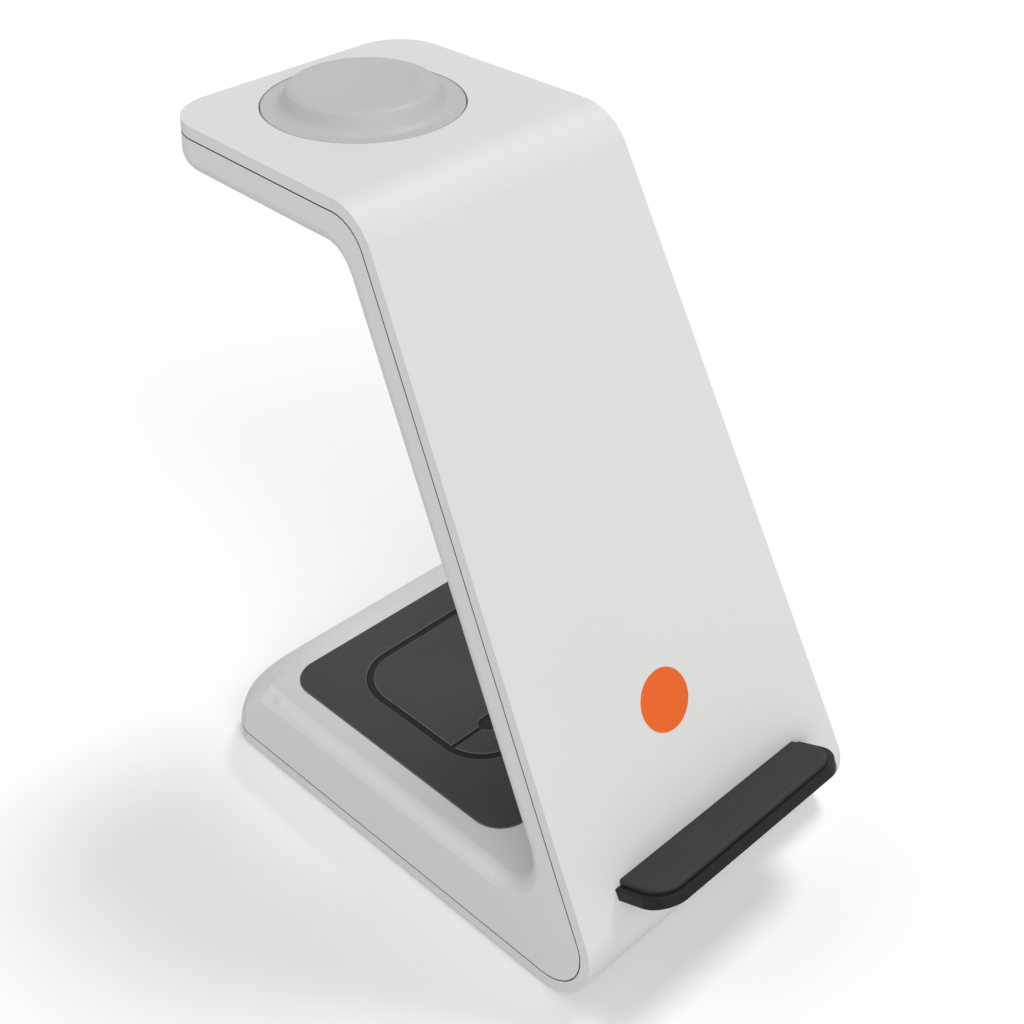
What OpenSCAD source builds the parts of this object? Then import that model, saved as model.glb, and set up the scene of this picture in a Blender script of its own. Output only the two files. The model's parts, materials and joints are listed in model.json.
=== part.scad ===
// Wireless charging station for a phone, a watch and an earbud case.
// Two moulded shells make one Z-shaped band: base, leaning phone panel and level arm.
// Millimetres, +Z up, phone side faces -Y. The origin is the bottom centre of the whole stand.

/* [Body] */
// Width of the stand at its foot
base_w = 98; // [94:1:104]
// Width of the arm where it leaves the panel
arm_w = 76.6; // [74:0.2:80]
// Width of the arm at its tip
tip_w = 73.8; // [72:0.2:76]
// Height of the arm's top face over the underside of the shell
body_h = 174; // [168:1:180]
// Angle of the phone panel from the table
lean = 63.1; // [62:0.1:64.5]
// Depth from the front corner line to the tip of the arm
arm_reach = 160; // [156:1:170]
// Depth from the front corner line to the back of the base
base_reach = 147; // [145:1:155]
// Thickness of panel and arm
band_t = 12; // [11.6:0.1:14]
// Thickness of the base
base_t = 22; // [21:0.5:26]

/* [Rounding] */
// Outside radius of the two bends
bend_r = 14.5; // [12:0.5:18]
// Inside radius between base and panel
bay_r = 10; // [8:0.5:12]
// Inside radius between panel and arm
arm_under_r = 8; // [6:0.5:10]
// Radius along the inner side edges
soft_r = 4.5; // [3:0.5:5]
// Corner radius of the arm's tip, seen from above
tip_corner_r = 13; // [10:0.5:16]
// Corner radius of the back of the base, seen from above
back_corner_r = 10; // [8:0.5:14]
// Radius of the arm's lower tip edge
tip_lower_r = 8; // [6:0.5:9]
// Radius of the base's upper back edge
back_upper_r = 16; // [14:0.5:16.5]

/* [Shells] */
// Wall of both shells
wall = 2.4; // [2:0.1:2.6]
// Visible edge of the outer shell
edge_t = 2.85; // [2.7:0.05:3.4]
// Width of the dark seam between the shells
seam_w = 0.3; // [0.2:0.05:0.5]
// How far the seam reaches into the joint
seam_depth = 1; // [0.6:0.1:1.4]
// Length of a snap tongue
snap_len = 8; // [6:1:12]

/* [Base pad] */
// Width of the rubber pad
pad_w = 77.8; // [72:0.2:79]
// Depth of the rubber pad
pad_d = 82.5; // [76:0.5:83]
// Distance from the front corner line to the pad's back edge
pad_back = 130.1; // [128:0.1:132]
// Corner radius of the pad
pad_r = 8.5; // [6:0.5:12]
// Thickness of the pad
pad_t = 1.2; // [1.2:0.1:1.6]
// How far the pad is let into the base
pad_sunk = 1; // [0.8:0.1:1.2]
// Width of the pressed case outline
case_w = 52.7; // [46:0.1:58]
// Depth of the pressed case outline
case_d = 50.8; // [46:0.1:56]
// Width of the outline's groove
case_line = 2; // [1.4:0.1:2.4]
// Depth of the outline's groove
case_groove = 0.5; // [0.3:0.1:0.7]

/* [Watch puck] */
// Diameter of the puck at the arm's top face
puck_d = 48; // [44:0.5:50]
// Distance from the arm's tip to the puck's axis
puck_back = 28.6; // [27.5:0.1:32]
// Height of the puck's rim over the arm
rim_h = 4.5; // [4:0.1:6]
// Outside diameter of the rim
rim_d = 34; // [33:0.2:36]
// Diameter of the dish
dish_d = 27.6; // [26:0.1:29]
// Depth of the dish
dish_h = 1.6; // [1:0.1:2]

/* [Ledge] */
// Distance along the panel from the front corner line to the ledge's top
ledge_s = 32.5; // [31:0.5:36]
// Width of the ledge bracket
ledge_w = 69.2; // [64:0.2:72]
// How far the bracket stands out from the panel
ledge_d = 15.4; // [13:0.1:17]
// Thickness of the bracket
ledge_t = 3.1; // [3:0.1:4]
// Thickness of the soft strip on the ledge
strip_t = 1.3; // [1:0.1:1.8]
// Width of the soft strip
strip_w = 65.4; // [60:0.2:68]
// Bracket left bare in front of the strip
strip_margin = 1.2; // [0.6:0.1:2]
// Front corner radius of the bracket
ledge_r = 8; // [6:0.5:10]
// Droop of the ledge below square to the panel
ledge_droop = 4; // [0:0.5:6]

/* [Feet and screws] */
// Diameter of a foot
foot_d = 13; // [11:0.5:15]
// Thickness of a foot
foot_t = 1.7; // [1.5:0.1:2.2]
// How far the feet stand below the shell
foot_proud = 0.8; // [0.6:0.1:1]
// Distance of feet and case screws from the side of the base
foot_inset = 11; // [10:0.5:12]
// Distance of the front feet from the front corner line
foot_front = 38; // [36:0.5:42]
// Distance of the back feet from the front corner line
foot_back = 128; // [124:0.5:130]
// Shank diameter of the case screws
case_screw_d = 2.6; // [2.2:0.1:3]
// Shank diameter of the small screws
small_screw_d = 2; // [1.8:0.1:2.2]

/* [Electronics] */
// Width of the main board
board_w = 62; // [56:1:63]
// Depth of the main board
board_d = 40; // [38:1:42]
// Thickness of the main board
board_t = 1.6; // [1.2:0.2:1.6]
// Height of the main board over the shell's underside
board_z = 7; // [6:0.5:8]
// Outside diameter of the earbud coil
bud_coil_d = 40; // [36:1:42]
// Outside diameter of a phone coil
phone_coil_d = 46; // [42:1:48]
// Distance between the two phone coils along the panel
coil_pitch = 49; // [48.5:0.5:54]
// Distance along the panel to the lower phone coil
coil_s = 74; // [72:1:78]
// Outside diameter of the watch coil
watch_coil_d = 25; // [22:0.5:27]
// Thickness of the flat coils
coil_t = 1.4; // [1.2:0.1:1.6]
// Thickness of the ferrite sheets
ferrite_t = 1; // [0.8:0.1:1.2]
// Width of the steel ballast plate
weight_w = 60; // [54:1:62]
// Depth of the steel ballast plate
weight_d = 56; // [50:1:58]
// Thickness of the steel ballast plate
weight_t = 4; // [3:0.5:5]
// Thickness of a flat lead pair
lead_t = 1.2; // [1:0.1:1.4]
// Width of a flat lead pair
lead_w = 2.4; // [2:0.1:2.6]

/* [Hidden] */
$fn = 64;
// Extra length of a cutting shape past the face that it cuts
over = 1;
// How far a round's circle runs past its tangent lines, so that the faces truly cross
slip = 0.03;
// Running clearance of moulded parts that drop into each other
fit = 0.2;
// Plain half size for shapes that are trimmed afterwards
far = 260;
// Side lean of the body, from its width at foot and arm
side_lean = atan((base_w - arm_w) / 2 / body_h);
// Lean of the panel's edge, measured on the leaning side face
edge_lean = atan(tan(lean) / cos(side_lean));
// Half width of the body at the foot
half_w = base_w / 2;
// Height at which the arm starts, underside
arm_z = body_h - band_t;
// Distance from the front corner line at which the straight part of the arm starts
arm_start = arm_z / tan(lean) + band_t / sin(lean) + arm_under_r / tan(90 - lean / 2);
// Sideways taper of the arm
arm_taper = atan((arm_w - tip_w) / 2 / (arm_reach - arm_start));
// Frontmost point of the ledge, which sets the origin
ledge_root_t = strip_t + ledge_t;
ledge_front_y = ledge_s * cos(lean) - ledge_d * sin(lean + ledge_droop)
    - ledge_root_t * cos(lean + ledge_droop);
origin_y = (arm_reach + ledge_front_y) / 2;
// Middle of the base pad and of the pressed outline on it
pad_y = pad_back - pad_d / 2;
case_y = pad_y + 4;
case_r = 12.7;
lid_y = case_y - 14;
lid_line = 1.2;
hinge_w = 30.6;
hinge_d = 5;
// Axis of the watch puck
puck_y = arm_reach - puck_back;
// Inside faces of the base
roof_z = base_t - wall;
// Screws
case_head_h = 1.8;
case_head_r = 2.4;
small_head_h = 1.4;
small_head_r = 1.9;
pilot_gap = 0.05;
hole_gap = 0.15;
drive_w = 0.6;
// Feet, and the posts over them in which the case screws stand
foot_x = base_w / 2 - foot_inset;
foot_sunk = foot_t - foot_proud;
foot_edge = 0.4;
post_r = 4.2;
post_z = 6;
case_seat_z = foot_sunk + case_head_h + 0.1;
case_screw_l = 11;
foot_places = [[-foot_x, foot_front], [foot_x, foot_front], [-foot_x, foot_back], [foot_x, foot_back]];
// Main board and what stands on it
board_back = base_reach - wall - 0.7;
board_front = board_back - board_d;
board_top = board_z + board_t;
standoff_r = 3;
board_screw_l = 5;
board_places = [for (x = [-1, 1], y = [4, 28]) [x * (board_w / 2 - 4), board_front + y]];
chip_size = [7, 7, 1];
controller_size = [9, 9, 1];
inductor_size = [8, 8, 3];
capacitor_size = [6, 4, 2.6];
chip_y = board_front + 15;
capacitor_y = board_front + 22.5;
// Ball that softens the upper back corners of the base: place of its centre, radius
ball_in = 20;
ball_back = 22;
ball_r = 25.7;
// USB-C inlet
usb_w = 8.94;
usb_h = 3.26;
usb_l = 7.35;
usb_wall = 0.3;
usb_r = 1.5;
usb_z = board_top + usb_h / 2;
usb_mouth_y = base_reach - 1.5;
tongue_size = [6.7, 5.4, 0.7];
// Ballast plate
weight_y = 68;
// Thickness of both coil carriers
carrier_t = 1.6;
// Stack under the base pad, downwards from the roof
bud_ferrite_z = roof_z - coil_t - ferrite_t;
bud_carrier_z = bud_ferrite_z - carrier_t;
bud_ear_r = bud_coil_d / 2 + 9;
bud_ear_w = 7;
bud_screw_l = 3.4;
bud_places = [for (a = [90, 210, 330]) [bud_ear_r * cos(a), case_y + bud_ear_r * sin(a)]];
coil_core = 0.45;
// Stack in the panel, as depths behind its front face
coil_face = wall + fit;
phone_ferrite_face = coil_face + coil_t;
phone_carrier_face = phone_ferrite_face + ferrite_t;
phone_carrier_back = phone_carrier_face + carrier_t;
ferrite_margin = 3;
ferrite_r = 8;
phone_ferrite_w = phone_coil_d + 2 * ferrite_margin;
phone_ferrite_l = coil_pitch + phone_ferrite_w;
carrier_w = phone_ferrite_w + 8;
carrier_l = phone_ferrite_l + 6;
coils_s = coil_s + coil_pitch / 2;
phone_screw_l = 4.6;
carrier_places = [
    for (x = [-1, 1], s = [-1, 1]) [x * (carrier_w / 2 - 3), coils_s + s * (carrier_l / 2 - 3)]
];
// Puck, heights over the arm's top face
flange_t = 1.2;
flange_r = puck_d / 2 + 2;
puck_bottom = -wall - flange_t;
puck_skin = 1.2;
puck_ceiling = rim_h - dish_h - puck_skin;
puck_bore_r = 15.4;
cap_r = 17.2;
cap_t = 1.8;
watch_board_t = 0.8;
watch_core_r = 6.5;
magnet_r = 5.5;
cove_r = 6;
rim_soft = 0.6;
// Ring of the inner shell that presses the puck and its cap upwards
clamp_out_r = 20;
clamp_in_r = 13.5;
// Ledge screws and locating pins
ledge_screw_places = [-22, 0, 22];
ledge_pin_places = [-11, 11];
ledge_pin_r = 1.2;
ledge_screw_l = wall + 7;
ledge_screw_s = ledge_s - strip_t - ledge_t / 2 - 0.25;
strip_r = ledge_r - 1;
// Snap tongues: distance along the panel, and distance along the arm from where it starts
panel_snaps = [62, 150];
arm_snaps = [10, 38];
snap_t = 1.2;
snap_deep = 4;
snap_nub = 0.6;
snap_high = 2;
// Leads
lead_gap = 0.1;
lead_step = lead_t / 2 + lead_gap;
lead_back = band_t - wall - lead_step - 0.6;
phone_lead_x = 3;
watch_lead_x = 8;
lead_slot = 3.4;

function unit(v) = v / norm(v);

// Depth of the panel's plane at height z, t behind its front face
function panel_y(z, t) = z / tan(lean) + t / sin(lean);

// Half width of the body at height z
function side_x(z) = half_w - z * tan(side_lean);

// A point on the panel as depth and height: s along it, t behind its front face
function on_side(s, t) = [s * cos(lean) + t * sin(lean), s * sin(lean) - t * cos(lean)];

// What a round of radius r takes off the corner v between the directions a and b
module corner_waste(v, a, b, r) {
    half = acos(a * b) / 2;
    c = v + unit(a + b) * r / sin(half);
    ta = v + a * r / tan(half);
    tb = v + b * r / tan(half);
    difference() {
        polygon([c, ta + unit(ta - c) * over, v + unit(v - c) * 2 * over, tb + unit(tb - c) * over]);
        translate(c) circle(r + slip);
    }
}

// Convex outline with one radius for each corner, 0 for a sharp one
module round_outline(points, radii) {
    n = len(points);
    difference() {
        polygon(points);
        for (i = [0 : n - 1])
            if (radii[i] > 0)
                corner_waste(points[i], unit(points[(i + n - 1) % n] - points[i]),
                    unit(points[(i + 1) % n] - points[i]), radii[i]);
    }
}

// Rectangle centred on the axis with rounded corners
module round_box(w, d, r) {
    round_outline([[-w / 2, -d / 2], [w / 2, -d / 2], [w / 2, d / 2], [-w / 2, d / 2]], [r, r, r, r]);
}

// Side view of everything behind the outer face, t inside it
module outer_region(t) {
    round_outline([[panel_y(t, t), t], [far, t], [far, body_h - t], [panel_y(body_h - t, t), body_h - t]],
        [bend_r - t, 0, 0, bend_r - t]);
}

// Side view of the open bay under the arm, grown by g into the body
module bay_region(g) {
    low = base_t - g;
    high = arm_z + g;
    round_outline([[panel_y(low, band_t - g), low], [far, low], [far, high],
        [panel_y(high, band_t - g), high]], [bay_r + g, 0, 0, arm_under_r + g]);
}

// Side view of the band: t inside the outer face, g inside the bay and the ends
module band_outline(t, g) {
    difference() {
        outer_region(t);
        bay_region(g);
        translate([base_reach - g, -over]) square([far, base_t + 2 * over]);
        corner_waste([base_reach - g, base_t - g], [-1, 0], [0, -1], back_upper_r - g);
        translate([arm_reach - g, arm_z - over]) square([far, band_t + 2 * over]);
        corner_waste([arm_reach - g, arm_z + g], [-1, 0], [0, 1], tip_lower_r - g);
    }
}

// Extrudes a side view across the stand
module across(w) {
    rotate([90, 0, 90]) translate([0, 0, -w / 2]) linear_extrude(w) children();
}

module both_sides() {
    children();
    mirror([1, 0, 0]) children();
}

// Frame on the leaning side face: +X out of the face, Y along the stand, Z up the face
module on_side_face() {
    translate([half_w, 0, 0]) rotate([0, -side_lean, 0]) children();
}

// The same for the tapering side face of the arm, Y from where the arm starts
module on_arm_face() {
    on_side_face() translate([0, arm_start, 0]) rotate([0, 0, arm_taper]) children();
}

// The same for the side face of the panel: Y up the panel's edge, Z out of its front face
module on_panel_side(s, t) {
    on_side_face() rotate([edge_lean, 0, 0]) translate([0, s, -t]) children();
}

// Frame on the panel's front: Y up the panel, Z out of it, at s along it and t behind it
module on_panel(s, t) {
    rotate([lean, 0, 0]) translate([0, s, -t]) children();
}

// Everything inside the side faces, the tip and the back, e inside them
module envelope(e) {
    low = -10;
    high = body_h + 10;
    inset = e / cos(side_lean);
    tip = (arm_reach - arm_start - e * (1 - sin(arm_taper))) / cos(arm_taper);
    difference() {
        rotate([90, 0, 0]) translate([0, 0, -far]) linear_extrude(far + 20)
            polygon([[inset - side_x(low), low], [side_x(low) - inset, low],
                [side_x(high) - inset, high], [inset - side_x(high), high]]);
        both_sides() {
            on_arm_face() translate([-e, -20, arm_z - 20]) cube([30, 130, band_t + 40]);
            on_arm_face() translate([0, 0, arm_z - 20]) linear_extrude(band_t + 40)
                corner_waste([-e, tip], [0, -1], [-cos(arm_taper), sin(arm_taper)], tip_corner_r - e);
            on_side_face() translate([0, 0, low]) linear_extrude(base_t + 30)
                corner_waste([-e, base_reach - e], [0, -1], [-1, 0], back_corner_r - e);
        }
    }
}

// Waste of the soft edge between a side face and a face of the bay.
// The edge runs along +Z, the body lies towards +Y, tilt is the lean between the two faces.
module soft_edge(length, tilt) {
    linear_extrude(length)
        corner_waste([0, 0], [0, 1], [-cos(tilt), sin(tilt)], soft_r);
}

// Waste of the soft edge round an inside corner of radius r
module soft_bend(r, from, to) {
    rotate([0, 90, 0]) rotate([0, 0, from]) rotate_extrude(angle = to - from)
        corner_waste([r, 0], [1, 0], [0, -1], soft_r);
}

// All soft edges of the +X side. Straight runs start and end a little inside the bends,
// and the panel's run is cut a hair deeper, so that no two rounds graze each other.
module soft_edges() {
    into = 0.05;
    bite = 0.06;
    shift = soft_r * tan(side_lean);
    bay_y = base_t / tan(lean) + band_t / sin(lean) + bay_r / tan(lean / 2);
    low_c = [0, bay_y, (base_t + bay_r) / cos(side_lean)];
    high_c = [0, arm_start, (arm_z - arm_under_r) / cos(side_lean)];
    low_end = low_c + bay_r * [0, -sin(edge_lean), cos(edge_lean)];
    high_end = high_c + arm_under_r * [0, -sin(edge_lean), cos(edge_lean)];
    on_side_face() {
        translate([0, bay_y - into, base_t / cos(side_lean)]) rotate([-90, 0, 0])
            soft_edge(base_reach - bay_y + 10, -side_lean);
        translate(low_c + [0, 0, shift]) soft_bend(bay_r, edge_lean - 180, 0);
        translate(low_end) rotate([edge_lean - 90, 0, 0]) mirror([0, 1, 0])
            translate([-bite, bite, shift * sin(edge_lean) - into])
                soft_edge(norm(high_end - low_end) + 2 * into, asin(sin(side_lean) * cos(lean)));
        translate(high_c + [0, 0, shift]) soft_bend(arm_under_r, -180, edge_lean - 180);
    }
    on_arm_face() translate([0, 0, arm_z / cos(side_lean)]) {
        tip_y = (arm_reach - arm_start) / cos(arm_taper) - tip_corner_r / tan(45 + arm_taper / 2);
        translate([0, -into, 0]) rotate([-90, 0, 0]) mirror([0, 1, 0])
            soft_edge(tip_y + 2 * into, side_lean);
        translate([-tip_corner_r, tip_y, 0]) rotate_extrude(angle = 92)
            corner_waste([tip_corner_r, 0], [0, 1], [-cos(side_lean), sin(side_lean)], soft_r);
    }
}

// What the ball takes off the upper back corner of the base, g inside its surface
module ball_waste(g) {
    translate([half_w - ball_in, base_reach - ball_back, base_t - ball_in]) difference() {
        cube(2 * ball_in);
        sphere(ball_r - g);
    }
}

// Space inside the two shells
module inside_space() {
    intersection() {
        across(base_w) band_outline(wall, wall);
        envelope(wall);
    }
}

// Disc or hole about +Z from z0 to z1
module disc(r, z0, z1) {
    translate([0, 0, z0]) cylinder(r = r, h = z1 - z0);
}

// Screw standing on its bearing plane: shank along +Z, head below
module screw(d, length, head_r, head_h) {
    difference() {
        union() {
            disc(d / 2, -head_h / 2, length);
            disc(head_r, -head_h, 0);
        }
        for (a = [0, 90])
            rotate([0, 0, a]) translate([-head_r * 0.6, -drive_w / 2, -head_h - over])
                cube([head_r * 1.2, drive_w, over + head_h * 0.6]);
    }
}

// Direction square to the run from a to b
function across_run(a, b) = unit([a[1] - b[1], b[0] - a[0]]);

// Step from point i of a run of flat lead to its upper face
function lead_side(points, i) =
    let(
        n = len(points) - 1,
        u = across_run(points[max(i, 1) - 1], points[max(i, 1)]),
        v = across_run(points[min(i, n - 1)], points[min(i, n - 1) + 1])
    )
    (u + v) / (1 + u * v) * lead_t / 2;

// Flat lead pair at x through points given as depth and height
module flat_lead(x, points) {
    n = len(points) - 1;
    color("firebrick") place() translate([x - lead_w / 2, 0, 0])
        rotate([90, 0, 90]) linear_extrude(lead_w) polygon(concat(
            [for (i = [0 : n]) points[i] + lead_side(points, i)],
            [for (i = [n : -1 : 0]) points[i] - lead_side(points, i)]
        ));
}

// The leads' way out of the panel and through the base onto the board
lead_end = [
    on_side(26, lead_back), [38, wall + weight_t + lead_step],
    [board_front - 6, wall + weight_t + lead_step], [board_front - 2, board_top + lead_step],
    [board_front + 3, board_top + lead_step]
];

// Moves from the front corner line to the bottom centre of the stand
module place() {
    translate([0, -origin_y, foot_proud]) children();
}

// Frame of the ledge: Z outwards along its top, Y square to its top
module on_ledge() {
    on_panel(ledge_s, 0) rotate([ledge_droop, 0, 0]) children();
}

// Plate of the ledge from its top at the given depth down, square end at the panel
module ledge_plate(w, d, r, top, t) {
    difference() {
        on_ledge() translate([0, -top, 0]) rotate([90, 0, 0]) linear_extrude(t)
            round_outline([[-w / 2, -2], [w / 2, -2], [w / 2, d], [-w / 2, d]], [0, 0, r, r]);
        on_panel(0, 10) translate([-far / 2, 0, 0]) cube([far, 60, 10]);
    }
}

module snap_frames() {
    both_sides() {
        for (s = panel_snaps) on_panel_side(s, 0) children();
        for (y = arm_snaps) on_arm_face() translate([0, y, body_h / cos(side_lean)]) children();
    }
}

module snap_tongue() {
    face = -wall - fit;
    deep = -edge_t - snap_deep;
    translate([face - snap_t, -snap_len / 2, deep])
        cube([snap_t, snap_len, -wall + 0.5 - deep]);
    rotate([90, 0, 0]) translate([0, 0, -snap_len / 2]) linear_extrude(snap_len)
        polygon([[face - snap_t / 2, deep + 0.3], [face, deep + 0.3],
            [face + snap_nub, deep + 0.3 + snap_high / 2],
            [face, deep + 0.3 + snap_high], [face - snap_t / 2, deep + 0.3 + snap_high]]);
}

module snap_pocket() {
    translate([-wall - over, -snap_len / 2 - fit, -edge_t - snap_deep + 0.3 - fit])
        cube([over + snap_nub, snap_len + 2 * fit, snap_high + 2 * fit]);
}

module outer_shell() {
    color("whitesmoke") place() difference() {
        union() {
            difference() {
                intersection() {
                    across(base_w + 10) difference() {
                        band_outline(0, 0);
                        outer_region(edge_t);
                    }
                    envelope(0);
                }
                inside_space();
            }
            for (p = foot_places) translate(p) disc(post_r, wall - over, post_z);
            for (p = board_places) translate(p) disc(standoff_r, wall - over, board_z);
            for (p = carrier_places) on_panel(p[1], 0) translate([p[0], 0, 0])
                disc(standoff_r, -phone_carrier_face, over - wall);
            snap_frames() snap_tongue();
        }
        for (p = foot_places) translate(p) {
            disc(foot_d / 2 + fit / 2, -over, foot_sunk);
            disc(case_head_r + fit, 0, case_seat_z);
            disc(case_screw_d / 2 + hole_gap, 0, post_z + over);
        }
        for (p = board_places) translate(p)
            disc(small_screw_d / 2 + pilot_gap, board_top - board_screw_l - 0.4, board_z + over);
        for (p = carrier_places) on_panel(p[1], 0) translate([p[0], 0, 0])
            disc(small_screw_d / 2 + pilot_gap, -phone_carrier_face - over,
                phone_screw_l - phone_carrier_back + 0.3);
        for (x = ledge_screw_places) on_panel(ledge_screw_s, 0) translate([x, 0, 0])
            disc(small_screw_d / 2 + hole_gap, -wall - over, over);
        for (x = ledge_pin_places) on_panel(ledge_screw_s, 0) translate([x, 0, 0])
            disc(ledge_pin_r + fit / 2, -wall - over, over);
        translate([0, puck_y, body_h]) disc(puck_d / 2 + fit / 2, -wall - over, over);
    }
}

// Bosses and the clamping ring that the inner shell keeps inside the space
module inner_posts() {
    for (p = foot_places) translate(p) disc(post_r, post_z, base_t + 10);
    for (p = bud_places) translate(p) disc(standoff_r, bud_ferrite_z, base_t);
    translate([0, puck_y, body_h]) difference() {
        disc(clamp_out_r, -band_t, puck_bottom);
        disc(clamp_in_r, -band_t - over, puck_bottom + over);
        translate([watch_lead_x - lead_slot, -far / 2, -band_t]) cube([2 * lead_slot, far / 2, far]);
    }
}

module inner_shell() {
    color("white") place() difference() {
        intersection() {
            across(base_w + 10) intersection() {
                band_outline(0, 0);
                outer_region(edge_t);
            }
            envelope(0);
        }
        both_sides() {
            soft_edges();
            ball_waste(0);
        }
        difference() {
            inside_space();
            inner_posts();
            both_sides() ball_waste(wall);
        }
        // Shadow seam
        difference() {
            across(base_w + 20) difference() {
                outer_region(edge_t - over);
                outer_region(edge_t + seam_w);
            }
            intersection() {
                across(base_w) band_outline(0, seam_depth);
                envelope(seam_depth);
            }
        }
        snap_frames() snap_pocket();
        for (p = foot_places) translate(p)
            disc(case_screw_d / 2 + pilot_gap, post_z - over, case_seat_z + case_screw_l + 0.5);
        for (p = bud_places) translate(p)
            disc(small_screw_d / 2 + pilot_gap, bud_ferrite_z - over, bud_carrier_z + bud_screw_l + 0.2);
        translate([0, pad_y, base_t - pad_sunk]) linear_extrude(pad_sunk + over)
            round_box(pad_w + fit, pad_d + fit, pad_r + fit / 2);
        translate([0, base_reach + over, usb_z]) rotate([90, 0, 0]) linear_extrude(2 * wall + over)
            round_box(usb_w + fit, usb_h + fit, usb_r + fit / 2);
    }
}

module base_pad() {
    color("dimgray") place() translate([0, 0, base_t - pad_sunk]) difference() {
        translate([0, pad_y, 0]) linear_extrude(pad_t) round_box(pad_w, pad_d, pad_r);
        translate([0, case_y, pad_t - case_groove]) linear_extrude(case_groove + over) {
            difference() {
                round_box(case_w + case_line, case_d + case_line, case_r + case_line / 2);
                round_box(case_w - case_line, case_d - case_line, case_r - case_line / 2);
            }
            translate([-case_w / 2, lid_y - case_y - lid_line / 2]) square([case_w, lid_line]);
            translate([0, lid_y - case_y]) round_box(hinge_w, hinge_d, hinge_d / 2 - 0.1);
        }
    }
}

// Side view of the puck, from its axis outwards
module puck_outline() {
    cove_x = rim_d / 2 + sqrt(cove_r * cove_r - (cove_r - rim_h) * (cove_r - rim_h));
    difference() {
        union() {
            translate([0, puck_bottom]) square([puck_d / 2 - fit / 2, rim_h - puck_bottom]);
            translate([0, puck_bottom]) square([flange_r, flange_t]);
        }
        translate([cove_x, cove_r]) circle(cove_r + slip);
        translate([cove_x, 0]) square([far, cove_r]);
        corner_waste([rim_d / 2, rim_h], [-1, 0], [0, -1], rim_soft);
        corner_waste([dish_d / 2, rim_h], [1, 0], [0, -1], rim_soft);
        translate([-over, rim_h - dish_h]) square([dish_d / 2 + over, dish_h + over]);
        translate([-over, puck_bottom - over])
            square([puck_bore_r + over, puck_ceiling - puck_bottom + over]);
        translate([-over, puck_bottom - over]) square([cap_r + fit + over, cap_t + over]);
    }
}

module watch_puck() {
    color("silver") place() translate([0, puck_y, body_h]) rotate_extrude() puck_outline();
}

module puck_cap() {
    color("dimgray") place() translate([0, puck_y, body_h]) difference() {
        disc(cap_r, puck_bottom, puck_bottom + cap_t);
        translate([watch_lead_x, 0, 0]) disc(lead_slot / 2, puck_bottom - over, puck_bottom + cap_t + over);
    }
}

module watch_coil() {
    color("peru") place() translate([0, puck_y, body_h]) difference() {
        disc(watch_coil_d / 2, puck_ceiling - coil_t, puck_ceiling);
        disc(watch_core_r, puck_ceiling - coil_t - over, puck_ceiling + over);
    }
}

module watch_magnet() {
    color("gray") place() translate([0, puck_y, body_h])
        disc(magnet_r, puck_ceiling - coil_t, puck_ceiling);
}

module watch_ferrite() {
    color("darkslategray") place() translate([0, puck_y, body_h])
        disc(watch_coil_d / 2 + 1, puck_ceiling - coil_t - ferrite_t, puck_ceiling - coil_t);
}

module watch_board() {
    color("seagreen") place() translate([0, puck_y, body_h])
        disc(puck_bore_r - fit, puck_ceiling - coil_t - ferrite_t - watch_board_t,
            puck_ceiling - coil_t - ferrite_t);
}

module ledge_bracket() {
    color("black") place() {
        difference() {
            union() {
                ledge_plate(ledge_w, ledge_d, ledge_r, strip_t, ledge_t);
                for (x = ledge_pin_places) on_panel(ledge_screw_s, 0) translate([x, 0, 0])
                    disc(ledge_pin_r, 0.4 - wall, 1);
            }
            for (x = ledge_screw_places) on_panel(ledge_screw_s, 0) translate([x, 0, 0])
                disc(small_screw_d / 2 + pilot_gap, -over, ledge_screw_l - wall + 0.5);
        }
    }
}

module ledge_pad() {
    color("dimgray") place()
        ledge_plate(strip_w, ledge_d - strip_margin, strip_r, 0, strip_t);
}

module foot(p) {
    color("dimgray") place() translate(p) rotate_extrude()
        polygon([[0, -foot_proud], [foot_d / 2 - foot_edge, -foot_proud],
            [foot_d / 2, foot_edge - foot_proud], [foot_d / 2, foot_sunk], [0, foot_sunk]]);
}

module front_left_foot() {
    foot(foot_places[0]);
}

module front_right_foot() {
    foot(foot_places[1]);
}

module rear_left_foot() {
    foot(foot_places[2]);
}

module rear_right_foot() {
    foot(foot_places[3]);
}

module usb_shell() {
    color("lightgray") place() translate([0, usb_mouth_y, usb_z]) rotate([90, 0, 0]) {
        linear_extrude(usb_l) difference() {
            round_box(usb_w, usb_h, usb_r);
            round_box(usb_w - 2 * usb_wall, usb_h - 2 * usb_wall, usb_r - usb_wall);
        }
        translate([0, 0, usb_l - usb_wall]) linear_extrude(usb_wall) round_box(usb_w, usb_h, usb_r);
    }
}

module usb_tongue() {
    color("black") place()
        translate([-tongue_size[0] / 2, usb_mouth_y - usb_l + usb_wall, usb_z - tongue_size[2] / 2])
            cube(tongue_size);
}

module case_screws() {
    color("gray") place() for (p = foot_places) translate([p[0], p[1], case_seat_z])
        screw(case_screw_d, case_screw_l, case_head_r, case_head_h);
}

module ledge_screws() {
    color("gray") place() for (x = ledge_screw_places) on_panel(ledge_screw_s, wall)
        translate([x, 0, 0]) screw(small_screw_d, ledge_screw_l, small_head_r, small_head_h);
}

module base_weight() {
    color("slategray") place() translate([-weight_w / 2, weight_y - weight_d / 2, wall])
        cube([weight_w, weight_d, weight_t]);
}

module main_board() {
    color("seagreen") place() difference() {
        translate([-board_w / 2, board_front, board_z]) cube([board_w, board_d, board_t]);
        for (p = board_places) translate(p)
            disc(small_screw_d / 2 + hole_gap, board_z - over, board_top + over);
    }
}

module board_screws() {
    color("gray") place() for (p = board_places) translate([p[0], p[1], board_top])
        rotate([180, 0, 0]) screw(small_screw_d, board_screw_l, small_head_r, small_head_h);
}

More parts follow.
